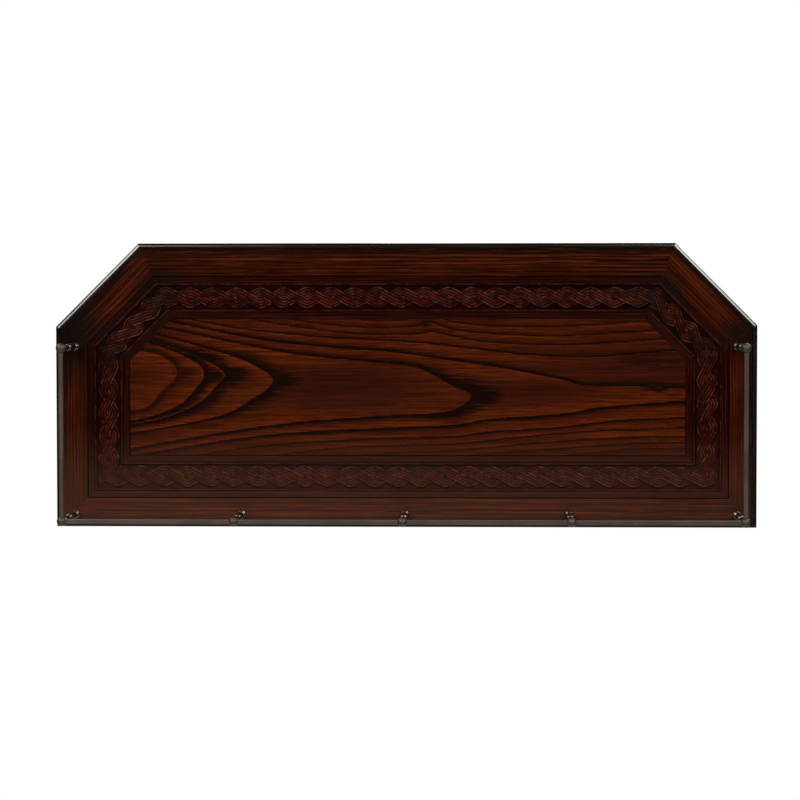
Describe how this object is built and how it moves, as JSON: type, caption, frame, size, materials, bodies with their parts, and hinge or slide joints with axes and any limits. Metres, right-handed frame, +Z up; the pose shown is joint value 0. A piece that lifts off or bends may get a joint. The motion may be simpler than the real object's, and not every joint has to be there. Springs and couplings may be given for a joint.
{
  "type": "wall cue rack",
  "caption": "Carved wall rack for cues: a framed board with clipped top corners and a metal gallery rail on turned posts that stands off its face; it lifts off a wall cleat.",
  "frame": {"origin": "on the wall, midway between the two screw holes of the wall cleat, in the plane where the cleat's back meets the wall", "axes": "+Z up, +Y back into the wall, +X to the right as seen from the front; the carved face looks along -Y"},
  "size_m": [0.9014, 0.1482, 0.3652],
  "materials": {
    "figured_board": "open-grained board, dark brown stain under a semi-gloss finish",
    "stained_frame": "straight-grained dark brown stain under a semi-gloss finish",
    "dark_lip": "near-black stain, semi-gloss",
    "red_fillet": "reddish brown stain, semi-gloss",
    "carved_wood": "reddish brown carving on a near-black ground",
    "secondary_wood": "plain softwood, unfinished",
    "patinated_metal": "dark bronze patina, satin, worn brighter on the high points",
    "plain_steel": "plain zinc-plated steel",
    "felt": "dark grey-green pressed felt"
  },
  "bodies": {
    "wall_cleat": {"wall_cleat": "secondary_wood"},
    "rack": {"central_panel": "figured_board", "frame_bottom": "stained_frame", "frame_right": "stained_frame", "frame_right_cant": "stained_frame", "frame_top": "stained_frame", "frame_left_cant": "stained_frame", "frame_left": "stained_frame", "edge_lip_bottom": "dark_lip", "edge_lip_right": "dark_lip", "edge_lip_right_cant": "dark_lip", "edge_lip_top": "dark_lip", "edge_lip_left_cant": "dark_lip", "edge_lip_left": "dark_lip", "outer_fillet_bottom": "red_fillet", "outer_fillet_right": "red_fillet", "outer_fillet_right_cant": "red_fillet", "outer_fillet_top": "red_fillet", "outer_fillet_left_cant": "red_fillet", "outer_fillet_left": "red_fillet", "inner_fillet_bottom": "red_fillet", "inner_fillet_right": "red_fillet", "inner_fillet_right_cant": "red_fillet", "inner_fillet_top": "red_fillet", "inner_fillet_left_cant": "red_fillet", "inner_fillet_left": "red_fillet", "carved_band_bottom": "carved_wood", "carved_band_right": "carved_wood", "carved_band_right_cant": "carved_wood", "carved_band_top": "carved_wood", "carved_band_left_cant": "carved_wood", "carved_band_left": "carved_wood", "mitre_splines": "secondary_wood", "post_left_upper": "patinated_metal", "post_left_corner": "patinated_metal", "post_bottom_left": "patinated_metal", "post_bottom_centre": "patinated_metal", "post_bottom_right": "patinated_metal", "post_right_corner": "patinated_metal", "post_right_upper": "patinated_metal", "rail_bottom": "patinated_metal", "rail_left": "patinated_metal", "rail_right": "patinated_metal", "post_studs": "plain_steel", "post_washers": "plain_steel", "post_nuts": "plain_steel", "rack_cleat": "secondary_wood", "spacer_batten": "secondary_wood", "cleat_screws": "plain_steel", "batten_screws": "plain_steel", "wall_bumpers": "felt"}
  },
  "joints": [
    {"name": "lift_off", "type": "slide", "parent": "wall_cleat", "child": "rack", "axis": [0, 0, 1], "range_m": [0, 0.03]}
  ]
}
